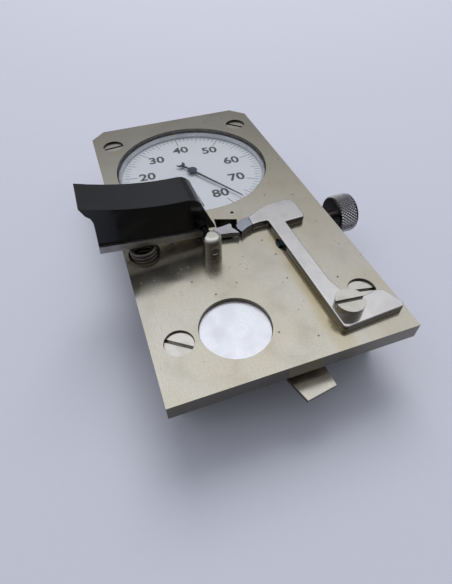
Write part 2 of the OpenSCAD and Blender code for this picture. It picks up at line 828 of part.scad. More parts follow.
module bridge_screws() {
    color([0.2, 0.26, 0.45])
    union() {
        for (p = concat(pillar_fix, [front_pillar]))
            slotted_screw_below(p, bridge_z - 0.7, 1.4, 0.7, 0.65, bridge_t + 3, 70, 0.4, 0.4);
        for (p = pillar_fix)
            post(p, 0.65, movement_z - 2, plate_z - 0.1);
    }
}

module sector_gear() {
    span = [for (k = [-4 : 3]) each tooth(sector_teeth, k)];
    web = sector_r - 3;
    edge = 9;
    z1 = sector_z + wheel_t;
    color([0.8, 0.68, 0.4])
    difference() {
        union() {
            translate([sector_c[0], sector_c[1], sector_z])
                rotate([0, 0, 90 + sector_lean])
                    linear_extrude(height = wheel_t)
                        union() {
                            polygon(concat(span, [polar(edge, web), polar(-edge, web)]));
                            polygon([[0, -1.4], polar(-5, web + 0.5), polar(5, web + 0.5), [0, 1.4]]);
                        }
            post(sector_c, 2.2, sector_z, z1);
            block([sector_c[0] - 1.5, drive_c[1] - 1], [sector_c[0] + 1.5, sector_c[1]], sector_z, z1);
        }
        bore(sector_c, arbor_r, sector_z - cut, z1 + cut);
        block([sector_c[0] - pin_r - 0.04, drive_c[1] - 2], [sector_c[0] + pin_r + 0.04, drive_c[1] + 1.2],
              sector_z - cut, z1 + cut);
    }
}

module sector_arbor() {
    color([0.66, 0.66, 0.68])
    union() {
        post(sector_c, pivot_r, bridge_z + 0.5, plate_z + 1.6);
        post(sector_c, arbor_r, bridge_z + bridge_t + 0.1, plate_z - 0.1);
    }
}

module drive_wheel() {
    spokes = 5;
    color([0.82, 0.7, 0.42])
    difference() {
        gear(wheel_c, wheel_teeth, 90, wheel_z, wheel_z + wheel_t);
        difference() {
            ring(wheel_c, 2.4, wheel_r - 1.6, wheel_z - cut, wheel_z + wheel_t + cut);
            for (i = [0 : spokes - 1])
                bar(wheel_c, wheel_c + polar(i * 360 / spokes, wheel_r - 1), 1.3,
                    wheel_z - 2 * cut, wheel_z + wheel_t + 2 * cut);
        }
        bore(wheel_c, arbor_r, wheel_z - cut, wheel_z + wheel_t + cut);
    }
}

module wheel_pinion() {
    color([0.66, 0.66, 0.68])
    difference() {
        gear(wheel_c, pinion_teeth, sector_lean - 90 + 180 / pinion_teeth,
             sector_z - 0.5, sector_z + wheel_t + 0.5);
        bore(wheel_c, arbor_r, sector_z - 2, sector_z + 3);
    }
}

module wheel_arbor() {
    color([0.66, 0.66, 0.68])
    union() {
        post(wheel_c, pivot_r, bridge_z + 0.5, plate_z - 0.2);
        post(wheel_c, arbor_r, bridge_z + bridge_t + 0.1, movement_z - 0.1);
    }
}

module centre_pinion() {
    color([0.66, 0.66, 0.68])
    difference() {
        gear(dial_c, centre_teeth, -90 + 180 / centre_teeth, wheel_z - 0.6, wheel_z + wheel_t + 0.6);
        bore(dial_c, arbor_r, wheel_z - 2, wheel_z + 3);
    }
}

module centre_arbor() {
    color([0.66, 0.66, 0.68])
    union() {
        post(dial_c, pivot_r, bridge_z + 0.5, needle_z);
        post(dial_c, arbor_r, bridge_z + bridge_t + 0.1, needle_z + needle_t + 0.25);
        post(dial_c, 1.5, bridge_z + 2.6, bridge_z + 3.8);
    }
}

module hairspring() {
    steps = 24;
    n = spiral_turns * steps;
    inner = [for (i = [0 : n]) polar(360 * i / steps, spiral_r + spiral_pitch * i / steps)];
    outer = [for (i = [n : -1 : 0])
        polar(360 * i / steps, spiral_r + spiral_pitch * i / steps + spiral_strip)];
    color([0.3, 0.35, 0.5])
    translate([dial_c[0], dial_c[1], bridge_z + 2.8])
        linear_extrude(height = 0.7)
            polygon(concat(inner, outer));
}

module hairspring_stud() {
    color([0.7, 0.7, 0.7])
        post(stud_c, stud_r, bridge_z + 0.4, bridge_z + 3.6);
}

// ---------- measuring force adjuster ----------

knob_y = from_front(knob_from_front);
knob_x = plate_w / 2 + knob_gap;

// A cylinder along X at the knob's axis
module spindle(r, x0, x1) {
    translate([x0, knob_y, knob_z])
        rotate([0, 90, 0])
            cylinder(r = r, h = x1 - x0);
}

module knob() {
    bevel = 0.7;
    color([0.32, 0.31, 0.32])
    difference() {
        translate([knob_x, knob_y, knob_z])
            rotate([0, 90, 0])
                rotate_extrude()
                    polygon([[0, 0], [knob_r - bevel, 0], [knob_r, bevel], [knob_r, knob_w - bevel],
                             [knob_r - bevel, knob_w], [0, knob_w]]);
        spindle(spindle_r, knob_x - cut, knob_x + knob_w - 1.5);
        for (i = [0 : knurl_count - 1])
            translate([knob_x, knob_y, knob_z])
                rotate([i * 360 / knurl_count, 0, 0])
                    translate([bevel + 0.4, 0, knob_r])
                        rotate([45, 0, 0])
                            translate([0, -0.2, -0.2])
                                cube([knob_w - 2 * bevel - 0.8, 0.4, 0.4]);
    }
}

module knob_spindle() {
    color([0.6, 0.6, 0.6])
    union() {
        spindle(spindle_r, from_left(45), knob_x + knob_w - 1.5);
        spindle(spindle_r + bush_wall, plate_w / 2 - housing_in_x - wall_t - 1.2,
                plate_w / 2 - housing_in_x - wall_t - 0.1);
    }
}

module knob_bush() {
    x1 = plate_w / 2 - housing_in_x;
    color([0.75, 0.63, 0.36])
    difference() {
        union() {
            spindle(spindle_r + bush_wall, x1 - wall_t, x1);
            spindle(spindle_r + bush_wall + 0.2, x1, x1 + 1);
        }
        spindle(spindle_r + slack, x1 - wall_t - cut, x1 + 1 + cut);
    }
}

module spring_anchor() {
    y0 = min(knob_y - nut_half, lug_y - 1.2);
    y1 = max(knob_y + nut_half, lug_y + 1.2);
    color([0.75, 0.63, 0.36])
    difference() {
        block([anchor_x, y0], [anchor_x + anchor_l, y1], knob_z - 2.4, plate_z - 0.1);
        spindle(spindle_r + slack, anchor_x - cut, anchor_x + anchor_l + cut);
        bore([anchor_x + 1, lug_y], 0.35, knob_z - 4, plate_z);
    }
}

module measuring_spring() {
    reach = anchor_x - 0.7 - spring_lug_x - 1.7;
    color([0.35, 0.34, 0.33])
    translate([spring_lug_x + 1.7, lug_y, rod_z - 0.1])
        rotate([0, 90, 0])
            coil(1.1, 0.3, reach, 9, 6, 12);
}

// ---------- carriage lock ----------

module lock_lever() {
    crank_y = from_front(housing_in_y - 1.6);
    tab = concat([[from_left(28.2), crank_y]],
                 [for (p = [[27.7, 0.9], [29.7, -lock_reach], [37.4, 1.2 - lock_reach], [37.3, 0.9]])
                     place(p)],
                 [[from_left(36.8), crank_y]]);
    tail = concat([[from_left(28.2), crank_y - lock_t], [from_left(36.8), crank_y - lock_t]],
                  [for (p = [[36.6, 15], [29.6, 15]]) place(p)]);
    color([0.76, 0.75, 0.7])
    difference() {
        union() {
            translate([0, 0, tab_z - lock_t])
                linear_extrude(height = lock_t)
                    polygon(tab);
            block([from_left(28.2), crank_y - lock_t], [from_left(36.8), crank_y],
                  lock_z - lock_t, tab_z);
            translate([0, 0, lock_z - lock_t])
                linear_extrude(height = lock_t)
                    polygon(tail);
            post(lock_c, 4, lock_z - lock_t, lock_z);
            bar(lock_c, shoe_c, 3.4, lock_z - lock_t, lock_z);
        }
        bore(lock_c, 1.5 + slack, lock_z - lock_t - cut, lock_z + cut);
    }
}

module lock_shoe() {
    color([0.45, 0.25, 0.15])
        post(shoe_c, 1.5, lock_z, carriage_z - 0.1);
}

module lock_pillar() {
    color([0.7, 0.7, 0.7])
    difference() {
        post(lock_c, 3, lock_z + 0.06, plate_z);
        bore(lock_c, 1, lock_z - cut, plate_z - 1);
    }
}

module lock_screw() {
    color([0.62, 0.62, 0.6])
    union() {
        post(lock_c, 1.5, lock_z - lock_t - 0.06, lock_z + 0.06);
        slotted_screw_below(lock_c, lock_z - lock_t - 1.06, 2.6, 1, 0.95, 5.5, 55, 0.7, 0.5);
    }
}

top_plate();
housing();
base_cover();
base_pad();
plate_screws();
cover_screws();
badge_disc();
centre_screw();
anvil_arm();
anvil_tip();
anvil_screw();
dial_plate();
dial_spacer();
dial_ring();
crystal();
needle();
needle_cap();
lever_arm();
thumb_pad();
pad_screws();
lever_post();
rear_bearing();
lever_axle();
return_spring();
jaw();
jaw_carriage();
jaw_screw();
drive_pin();
guide_rods();
guide_blocks();
guide_screws();
movement_plate();
movement_screws();
movement_bridge();
bridge_pillars();
bridge_screws();
sector_gear();
sector_arbor();
drive_wheel();
wheel_pinion();
wheel_arbor();
centre_pinion();
centre_arbor();
hairspring();
hairspring_stud();
knob();
knob_spindle();
knob_bush();
spring_anchor();
measuring_spring();
lock_lever();
lock_shoe();
lock_pillar();
lock_screw();
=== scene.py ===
"""Looks of a bench dial thickness gauge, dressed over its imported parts.

Lengths are metres in the part's own frame: X right, Y away from the user, Z up,
with the origin at the centre of the base pad's underside.
"""

import logging
import math
from dataclasses import dataclass
from enum import Enum
from typing import Optional, Sequence, Union

import bpy
from mathutils import Matrix, Vector


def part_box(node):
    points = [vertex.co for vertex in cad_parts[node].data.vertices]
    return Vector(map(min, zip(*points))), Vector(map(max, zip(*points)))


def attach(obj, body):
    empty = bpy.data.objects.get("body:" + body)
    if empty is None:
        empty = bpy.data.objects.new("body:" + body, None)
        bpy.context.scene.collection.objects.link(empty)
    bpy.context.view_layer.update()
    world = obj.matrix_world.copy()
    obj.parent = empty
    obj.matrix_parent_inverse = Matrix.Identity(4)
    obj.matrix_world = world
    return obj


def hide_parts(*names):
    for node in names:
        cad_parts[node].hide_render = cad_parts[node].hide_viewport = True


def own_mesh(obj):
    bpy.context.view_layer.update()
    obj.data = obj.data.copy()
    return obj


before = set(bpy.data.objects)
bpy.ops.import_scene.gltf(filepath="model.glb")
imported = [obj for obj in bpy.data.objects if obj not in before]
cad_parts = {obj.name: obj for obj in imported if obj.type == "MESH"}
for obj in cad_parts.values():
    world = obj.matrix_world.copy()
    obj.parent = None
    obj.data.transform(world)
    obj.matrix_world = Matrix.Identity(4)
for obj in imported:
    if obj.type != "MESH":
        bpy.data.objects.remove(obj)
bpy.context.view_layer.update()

MM = 0.001
PER_MM = 1000.0
FINE_EDGE = 0.12 * MM  # rounding on small ground parts
MERGE = 0.0005 * MM  # points closer than this are one point

log = logging.getLogger("thickness_gauge")

Colour = tuple[float, float, float]
Socket = bpy.types.NodeSocket
Value = Union[float, Colour, Socket]


class Axis(Enum):
    """The direction in which a finish was brushed, or that a turned piece lies along."""

    X = 0
    Y = 1
    Z = 2


class Mark(Enum):
    """The three lengths of line on the dial."""

    UNIT = "unit"
    FIVE = "five"
    TEN = "ten"


# ---------- working on one object at a time ----------


def pick_none() -> None:
    """Leave object mode with nothing selected."""
    if bpy.context.object is not None and bpy.context.object.mode != "OBJECT":
        bpy.ops.object.mode_set(mode="OBJECT")
    for other in list(bpy.context.selected_objects):
        other.select_set(False)


def take(obj: bpy.types.Object) -> None:
    """Make one object the only selected one, and the active one.

    Args:
        obj: The object that the next operators act on.
    """
    pick_none()
    obj.select_set(True)
    bpy.context.view_layer.objects.active = obj


def whole_mesh(obj: bpy.types.Object) -> None:
    """Enter edit mode on one object with all of its mesh selected.

    Args:
        obj: The object to edit.
    """
    take(obj)
    bpy.ops.object.mode_set(mode="EDIT")
    bpy.ops.mesh.select_all(action="SELECT")


def leave_mesh() -> None:
    """Return to object mode."""
    bpy.ops.object.mode_set(mode="OBJECT")


def settle(obj: bpy.types.Object) -> None:
    """Move an object's place, turn and scale into its mesh.

    Args:
        obj: The finished object.
    """
    take(obj)
    bpy.ops.object.transform_apply(location=True, rotation=True, scale=True)


def apply_modifier(obj: bpy.types.Object, kind: str, **settings: object) -> None:
    """Add a modifier, set it and apply it at once.

    Args:
        obj: The object to shape.
        kind: The modifier's type, such as BEVEL.
        **settings: Its attributes and their values.
    """
    take(obj)
    modifier = obj.modifiers.new(kind.title(), kind)
    for key, value in settings.items():
        setattr(modifier, key, value)
    bpy.ops.object.modifier_apply(modifier=modifier.name)


def join(objects: Sequence[bpy.types.Object], name: str) -> bpy.types.Object:
    """Join several objects into the first of them.

    Args:
        objects: The objects, each with its own mesh.
        name: The joined object's name.

    Returns:
        The joined object.
    """
    pick_none()
    for obj in objects:
        obj.select_set(True)
    bpy.context.view_layer.objects.active = objects[0]
    bpy.ops.object.join()
    objects[0].name = name
    return objects[0]


def copy_turned(obj: bpy.types.Object, turn: Matrix) -> bpy.types.Object:
    """Copy an object with its own mesh, moved by a matrix.

    Args:
        obj: The modelled original.
        turn: Where the copy goes.

    Returns:
        The copy.
    """
    mesh = obj.data.copy()
    mesh.transform(turn)
    copy = bpy.data.objects.new(obj.name, mesh)
    bpy.context.scene.collection.objects.link(copy)
    return copy


def outward(obj: bpy.types.Object) -> None:
    """Merge doubled points and turn every face outwards.

    Args:
        obj: A closed mesh.
    """
    whole_mesh(obj)
    bpy.ops.mesh.remove_doubles(threshold=MERGE)
    bpy.ops.mesh.normals_make_consistent(inside=False)
    leave_mesh()


def soft_shade(obj: bpy.types.Object, angle: float = 40.0) -> None:
    """Shade an object smooth across gentle edges and keep its flats flat.

    Args:
        obj: The object to shade.
        angle: Edges sharper than this, in degrees, stay crisp.
    """
    take(obj)
    bpy.ops.object.shade_smooth_by_angle(angle=math.radians(angle))
    apply_modifier(obj, "WEIGHTED_NORMAL", keep_sharp=True, weight=80)


def finished_copy(
    node: str, name: str, edge: float, steps: int = 2, smooth: float = 50.0
) -> bpy.types.Object:
    """Copy a CAD node as a piece with worked edges that catch the light.

    Args:
        node: The CAD node to copy.
        name: The new piece's name.
        edge: Width of the rounding on every sharp edge, or 0 for none.
        steps: Faces across each rounding.
        smooth: Edges sharper than this, in degrees, stay crisp.

    Returns:
        The new piece, which stands for the node.
    """
    piece = bpy.data.objects.new(name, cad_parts[node].data.copy())
    bpy.context.scene.collection.objects.link(piece)
    piece.data.materials.clear()
    whole_mesh(piece)
    bpy.ops.mesh.remove_doubles(threshold=0.001 * MM)
    bpy.ops.mesh.customdata_custom_splitnormals_clear()
    bpy.ops.mesh.dissolve_limited(angle_limit=math.radians(0.5), use_dissolve_boundaries=False)
    leave_mesh()
    if edge > 0:
        apply_modifier(
            piece,
            "BEVEL",
            width=edge,
            segments=steps,
            limit_method="ANGLE",
            angle_limit=math.radians(30),
            use_clamp_overlap=True,
            miter_outer="MITER_ARC" if steps > 1 else "MITER_SHARP",
        )
    soft_shade(piece, smooth)
    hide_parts(node)
    return piece


# ---------- materials ----------


class Recipe:
    """A material's nodes, with a short call for each kind that a finish uses."""

    # a Mix node has sockets of one name for numbers, places and colours; these are the colours
    MIX_A = 6
    MIX_B = 7
    MIX_RESULT = 2

    def __init__(self, name: str) -> None:
        """Start a material with one main shader.

        Args:
            name: The material's name.
        """
        self.material = bpy.data.materials.new(name)
        self.material.use_nodes = True
        self.nodes = self.material.node_tree.nodes
        self.links = self.material.node_tree.links
        self.nodes.clear()
        self.out = self.nodes.new("ShaderNodeOutputMaterial")
        self.shader = self.nodes.new("ShaderNodeBsdfPrincipled")
        self.links.new(self.shader.outputs["BSDF"], self.out.inputs["Surface"])
        coordinates = self.nodes.new("ShaderNodeTexCoord")
        self.place = coordinates.outputs["Object"]

    def feed(self, socket: Socket, value: Value) -> None:
        """Link a socket, or set it to a number or colour.

        Args:
            socket: The input.
            value: What goes into it.
        """
        if isinstance(value, bpy.types.NodeSocket):
            self.links.new(value, socket)
        elif isinstance(value, tuple) and socket.type == "RGBA":
            socket.default_value = (*value, 1.0)
        else:
            socket.default_value = value

    def surface(self, **inputs: Value) -> None:
        """Set the main shader's inputs, named with underscores for spaces.

        Args:
            **inputs: Values or sockets.
        """
        for key, value in inputs.items():
            self.feed(self.shader.inputs[key.replace("_", " ")], value)

    def stretched(self, x: float, y: float, z: float) -> Socket:
        """Return the place in the part's frame, times a count per millimetre on each axis."""
        node = self.nodes.new("ShaderNodeMapping")
        self.links.new(self.place, node.inputs["Vector"])
        node.inputs["Scale"].default_value = (x * PER_MM, y * PER_MM, z * PER_MM)
        return node.outputs["Vector"]

    def noise(self, place: Socket, detail: float = 3.0, warp: float = 0.0) -> Socket:
        """Return cloudy noise from 0 to 1 over a scaled place."""
        node = self.nodes.new("ShaderNodeTexNoise")
        self.links.new(place, node.inputs["Vector"])
        node.inputs["Scale"].default_value = 1.0
        node.inputs["Detail"].default_value = detail
        node.inputs["Distortion"].default_value = warp
        return node.outputs["Fac"]

    def cells(self, place: Socket) -> tuple[Socket, Socket]:
        """Return scattered points' distance and a random colour for each."""
        node = self.nodes.new("ShaderNodeTexVoronoi")
        self.links.new(place, node.inputs["Vector"])
        node.inputs["Scale"].default_value = 1.0
        return node.outputs["Distance"], node.outputs["Color"]

    def spread(
        self, value: Socket, low: float, high: float, to_low: float = 0.0, to_high: float = 1.0
    ) -> Socket:
        """Return value's range low to high stretched to another, held at its ends."""
        node = self.nodes.new("ShaderNodeMapRange")
        node.interpolation_type = "SMOOTHSTEP"
        self.links.new(value, node.inputs["Value"])
        node.inputs["From Min"].default_value = low
        node.inputs["From Max"].default_value = high
        node.inputs["To Min"].default_value = to_low
        node.inputs["To Max"].default_value = to_high
        return node.outputs["Result"]

    def result(self, kind: str, a: Value, b: Value) -> Socket:
        """Return a maths node's result, such as MULTIPLY of a and b."""
        node = self.nodes.new("ShaderNodeMath")
        node.operation = kind
        self.feed(node.inputs[0], a)
        self.feed(node.inputs[1], b)
        return node.outputs["Value"]

    def blend(self, share: Value, a: Value, b: Value) -> Socket:
        """Return colour a turning to b by a share."""
        node = self.nodes.new("ShaderNodeMix")
        node.data_type = "RGBA"
        self.feed(node.inputs["Factor"], share)
        self.feed(node.inputs[self.MIX_A], a)
        self.feed(node.inputs[self.MIX_B], b)
        return node.outputs[self.MIX_RESULT]

    def relief(self, height: Socket, depth: float, strength: float = 1.0) -> Socket:
        """Return a bumped normal whose relief is depth high."""
        node = self.nodes.new("ShaderNodeBump")
        self.links.new(height, node.inputs["Height"])
        node.inputs["Distance"].default_value = depth
        node.inputs["Strength"].default_value = strength
        return node.outputs["Normal"]

    def size_of(self, value: Socket) -> Socket:
        """Return a number without its sign."""
        return self.result("ABSOLUTE", value, 0.0)

    def levelness(self) -> Socket:
        """Return how far each face looks up or down: 1 when it lies level, 0 when it stands."""
        split = self.nodes.new("ShaderNodeSeparateXYZ")
        shape = self.nodes.new("ShaderNodeNewGeometry")
        self.links.new(shape.outputs["Normal"], split.inputs["Vector"])
        return self.size_of(split.outputs["Z"])

    def along(self, axis: Axis) -> Socket:
        """Return the place along one axis, in millimetres."""
        node = self.nodes.new("ShaderNodeSeparateXYZ")
        self.links.new(self.stretched(1, 1, 1), node.inputs["Vector"])
        return node.outputs[axis.value]


@dataclass(frozen=True)
class Finish:
    """A surface finish that makes one material."""

    name: str
    slot: str

    def mix(self, recipe: Recipe) -> None:
        """Set up the material's nodes; each kind of finish has its own."""
        raise NotImplementedError

    def material(self) -> bpy.types.Material:
        """Return this finish's material, made on first use."""
        made = bpy.data.materials.get(self.name)
        if made is None:
            recipe = Recipe(self.name)
            self.mix(recipe)
            made = recipe.material
        return made


@dataclass(frozen=True)
class SatinNickel(Finish):
    """Aged nickel plate: lengthwise brushing, warm clouds, a stain, small brown pits and painted shade.
    """

    warm: Colour = (0.66, 0.605, 0.475)
    cool: Colour = (0.68, 0.64, 0.54)
    stain: Colour = (0.44, 0.39, 0.27)
    tarnish: Colour = (0.55, 0.44, 0.22)
    worn: Colour = (0.34, 0.32, 0.27)
    brushed: Colour = (0.34, 0.32, 0.28)
    # painted shade: the darker tone the plate turns to towards the back
    hazy: Colour = (0.30, 0.29, 0.26)
    pit: Colour = (0.16, 0.11, 0.065)
    # side: colour of the painted shade laid on upright faces
    side: Colour = (0.085, 0.075, 0.06)
    rough: float = 0.20
    metal: float = 0.97
    pit_cell: float = 4.4
    pit_r: float = 0.34
    clean_share: float = 0.30
    small_clean_share: float = 0.46
    halo_x: float = 11.4
    halo_y: float = -20.0
    halo_half: float = 3.6
    halo_fade: float = 6.0

    def clouds(self, recipe: Recipe, mottle: Socket) -> Socket:
        """Return the plate's two tones in wide clouds, with stains where mottle is high."""
        cloud = recipe.noise(recipe.stretched(0.05, 0.04, 0.05), 2.0, 0.3)
        tone = recipe.blend(recipe.spread(cloud, 0.36, 0.64), self.warm, self.cool)
        return recipe.blend(recipe.spread(mottle, 0.45, 0.85, 0.0, 0.3), tone, self.stain)

    def halo(self, recipe: Recipe, mottle: Socket) -> Socket:
        """Return the share of the yellow-brown tone: a patchy stripe that runs back from the front
        edge.
        """
        aside = recipe.size_of(recipe.result("SUBTRACT", recipe.along(Axis.X), self.halo_x))
        stripe = recipe.result(
            "MULTIPLY",
            recipe.spread(aside, 0.8, self.halo_half, 0.75, 0.0),
            recipe.spread(recipe.along(Axis.Y), self.halo_y, self.halo_y + self.halo_fade, 1.0, 0.0),
        )
        return recipe.result("MULTIPLY", stripe, recipe.spread(mottle, 0.25, 0.6, 0.45, 1.0))

    def pits(
        self, recipe: Recipe, cell: float, radius: float, clean: float, channel: int
    ) -> Socket:
        """Return one size of pits, scattered at random.

        Args:
            recipe: The material being made.
            cell: Distance between the places where a pit may be, in millimetres.
            radius: A pit's radius, in millimetres.
            clean: The share of the places that stay clean.
            channel: Which random number picks the places, 0 to 2.

        Returns:
            1 inside a pit, 0 outside.
        """
        count = 1.0 / cell
        near, chosen = recipe.cells(recipe.stretched(count, count * 1.07, count))
        ragged = recipe.noise(recipe.stretched(4.0, 4.0, 4.0), 2.0)
        edge = recipe.result("MULTIPLY", recipe.result("SUBTRACT", ragged, 0.5), 0.05)
        near = recipe.result("ADD", near, edge)
        spot = recipe.spread(near, radius / cell * 0.6, radius / cell * 1.1, 1.0, 0.0)
        split = recipe.nodes.new("ShaderNodeSeparateColor")
        recipe.links.new(chosen, split.inputs["Color"])
        picked = recipe.spread(split.outputs[channel], clean - 0.02, clean + 0.12)
        return recipe.result("MULTIPLY", spot, picked)

    def mix(self, recipe: Recipe) -> None:
        """Set up the material's nodes."""
        mottle = recipe.noise(recipe.stretched(0.16, 0.13, 0.16), 3.0, 0.2)
        grain = recipe.noise(recipe.stretched(2.6, 1.9, 2.6), 2.0)
        streak = recipe.noise(recipe.stretched(9.0, 0.22, 9.0), 3.0)
        pits = recipe.result(
            "MAXIMUM",
            self.pits(recipe, self.pit_cell, self.pit_r, self.clean_share, 0),
            self.pits(recipe, self.pit_cell * 0.5, self.pit_r * 0.55, self.small_clean_share, 1),
        )
        tone = recipe.blend(self.halo(recipe, mottle), self.clouds(recipe, mottle), self.tarnish)
        tone = recipe.blend(recipe.spread(grain, 0.35, 0.7, 0.0, 0.14), tone, self.worn)
        tone = recipe.blend(recipe.spread(streak, 0.35, 0.65, 0.0, 0.10), tone, self.brushed)
        # painted shade: the plate's colour darkens towards the back, standing for its dimmer reflection
        # there
        far_shade_share = recipe.spread(recipe.along(Axis.Y), -5.0, 50.0, 0.0, 0.22)
        tone = recipe.blend(far_shade_share, tone, self.hazy)
        tone = recipe.blend(recipe.result("MULTIPLY", pits, 0.8), tone, self.pit)
        # painted shade: upright faces turn towards the side colour
        tone = recipe.blend(recipe.spread(recipe.levelness(), 0.2, 0.9, 0.88, 0.0), tone, self.side)
        rough = recipe.spread(mottle, 0.3, 0.8, self.rough - 0.04, self.rough + 0.08)
        rough = recipe.result("ADD", rough, recipe.result("MULTIPLY", pits, 0.35))
        lines = recipe.result("MULTIPLY", streak, 0.10)
        height = recipe.result("SUBTRACT", lines, recipe.result("MULTIPLY", pits, 0.5))
        recipe.surface(
            Base_Color=tone,
            Metallic=self.metal,
            Roughness=rough,
            Normal=recipe.relief(height, 0.06 * MM, 0.5),
        )


@dataclass(frozen=True)
class WorkedMetal(Finish):
    """Bare metal with fine tool lines along one axis and a slightly uneven sheen.

    Lines are counted per millimetre, across the grain and along it. Upright faces can be given painted
    shade.
    """

    tint: Colour = (0.60, 0.59, 0.57)
    dull: Colour = (0.42, 0.41, 0.40)
    rough: float = 0.2
    grain: Axis = Axis.Y
    relief_depth: float = 0.006
    metal: float = 1.0
    # painted shade: how far upright faces turn to the shade colour
    dark_sides: float = 0.0
    shade: Colour = (0.05, 0.045, 0.04)
    across: float = 14.0
    lengthwise: float = 0.35

    def mix(self, recipe: Recipe) -> None:
        """Set up the material's nodes."""
        counts = [self.across] * 3
        counts[self.grain.value] = self.lengthwise
        lines = recipe.noise(recipe.stretched(*counts), 3.0)
        cloud = recipe.noise(recipe.stretched(0.22, 0.22, 0.22), 4.0, 0.4)
        tone = recipe.blend(recipe.spread(cloud, 0.40, 0.72, 0.0, 0.6), self.tint, self.dull)
        tone = recipe.blend(recipe.spread(lines, 0.4, 0.7, 0.0, 0.12), tone, self.dull)
        # painted shade: upright faces are darkened towards the shade colour
        if self.dark_sides > 0:
            side = recipe.spread(recipe.levelness(), 0.1, 0.5, self.dark_sides, 0.0)
            tone = recipe.blend(side, tone, self.shade)
        rough = recipe.result(
            "ADD",
            recipe.spread(cloud, 0.3, 0.75, self.rough * 0.75, self.rough * 1.3),
            recipe.spread(lines, 0.3, 0.7, 0.0, self.rough * 0.25),
        )
        recipe.surface(
            Base_Color=tone,
            Metallic=self.metal,
            Roughness=rough,
            Normal=recipe.relief(lines, self.relief_depth * MM, 0.6),
        )


@dataclass(frozen=True)
class GlossResin(Finish):
    """Black moulded resin, polished by use, with faint haze and hair scratches."""

    tint: Colour = (0.003, 0.003, 0.004)
    haze: Colour = (0.007, 0.007, 0.008)
    rough: float = 0.12

    def mix(self, recipe: Recipe) -> None:
        """Set up the material's nodes."""
        cloud = recipe.noise(recipe.stretched(0.18, 0.3, 0.3), 5.0, 0.4)
        scratch = recipe.noise(recipe.stretched(0.3, 11.0, 11.0), 2.0)
        tone = recipe.blend(recipe.spread(cloud, 0.45, 0.75), self.tint, self.haze)
        rough = recipe.result(
            "ADD",
            recipe.spread(cloud, 0.35, 0.7, self.rough * 0.7, self.rough * 1.9),
            recipe.spread(scratch, 0.55, 0.8, 0.0, 0.08),
        )
        recipe.surface(
            Base_Color=tone,
            Roughness=rough,
            IOR=1.5,
            Normal=recipe.relief(scratch, 0.003 * MM, 0.4),
        )


@dataclass(frozen=True)
class Enamel(Finish):
    """A smooth painted or enamelled face with a faint fleck."""

    tint: Colour = (0.86, 0.87, 0.90)
    fleck: Colour = (0.70, 0.70, 0.72)
    rough: float = 0.35
    metal: float = 0.0
    flecks: float = 2.5

    def mix(self, recipe: Recipe) -> None:
        """Set up the material's nodes."""
        count = self.flecks
        grain = recipe.noise(recipe.stretched(count, count, count), 6.0)
        cloud = recipe.noise(recipe.stretched(0.07, 0.07, 0.07), 3.0)
        tone = recipe.blend(recipe.spread(grain, 0.52, 0.80, 0.0, 0.55), self.tint, self.fleck)
        tone = recipe.blend(recipe.spread(cloud, 0.45, 0.8, 0.0, 0.25), tone, self.fleck)
        recipe.surface(
            Base_Color=tone,
            Metallic=self.metal,
            Roughness=recipe.spread(grain, 0.3, 0.8, self.rough * 0.85, self.rough * 1.2),
            Normal=recipe.relief(grain, 0.004 * MM, 0.35),
        )


@dataclass(frozen=True)
class HammerPaint(Finish):
    """Stove enamel on a cast wall: a low orange-peel relief and rubbed spots."""

    tint: Colour = (0.075, 0.078, 0.080)
    rubbed: Colour = (0.16, 0.16, 0.155)
    rough: float = 0.42

    def mix(self, recipe: Recipe) -> None:
        """Set up the material's nodes."""
        peel = recipe.noise(recipe.stretched(1.4, 1.4, 1.4), 2.0, 0.2)
        wear = recipe.noise(recipe.stretched(0.3, 0.3, 0.5), 6.0, 0.5)
        tone = recipe.blend(recipe.spread(wear, 0.52, 0.75, 0.0, 0.7), self.tint, self.rubbed)
        recipe.surface(
            Base_Color=tone,
            Roughness=recipe.spread(peel, 0.3, 0.7, self.rough * 0.85, self.rough * 1.2),
            Normal=recipe.relief(peel, 0.05 * MM, 0.6),
        )


@dataclass(frozen=True)
class MattSheet(Finish):
    """Rubber, fibre or ink: no gloss, with a fine even tooth."""

    tint: Colour = (0.02, 0.02, 0.02)
    light: Colour = (0.045, 0.045, 0.045)
    rough: float = 0.8
    tooth: float = 4.0
    depth: float = 0.03

    def mix(self, recipe: Recipe) -> None:
        """Set up the material's nodes."""
        grain = recipe.noise(recipe.stretched(self.tooth, self.tooth, self.tooth), 5.0)
        recipe.surface(
            Base_Color=recipe.blend(recipe.spread(grain, 0.4, 0.75), self.tint, self.light),
            Roughness=recipe.spread(grain, 0.3, 0.8, self.rough * 0.9, min(1.0, self.rough * 1.1)),
            Normal=recipe.relief(grain, self.depth * MM, 0.5),
        )


@dataclass(frozen=True)
class ClearGlass(Finish):
    """A thin flat crystal: clear straight on, and bright where it is seen at a low angle."""

    tint: Colour = (0.97, 0.98, 0.99)
    mirrored: Colour = (0.95, 0.96, 1.0)
    rough: float = 0.04
    straight: float = 0.02
    grazing: float = 0.55
    sharpness: float = 3.0

    def mix(self, recipe: Recipe) -> None:
        """Set up the material's nodes."""
        clear = recipe.nodes.new("ShaderNodeBsdfTransparent")
        clear.inputs["Color"].default_value = (*self.tint, 1.0)
        gloss = recipe.nodes.new("ShaderNodeBsdfGlossy")
        gloss.inputs["Color"].default_value = (*self.mirrored, 1.0)
        gloss.inputs["Roughness"].default_value = self.rough
        lean = recipe.nodes.new("ShaderNodeLayerWeight")
        lean.inputs["Blend"].default_value = 0.5
        share = recipe.result("POWER", lean.outputs["Facing"], self.sharpness)
        share = recipe.spread(share, 0.0, 1.0, self.straight, self.grazing)
        both = recipe.nodes.new("ShaderNodeMixShader")
        recipe.links.new(share, both.inputs["Fac"])
        recipe.links.new(clear.outputs["BSDF"], both.inputs[1])
        recipe.links.new(gloss.outputs["BSDF"], both.inputs[2])
        recipe.links.new(both.outputs["Shader"], recipe.out.inputs["Surface"])
        recipe.nodes.remove(recipe.shader)


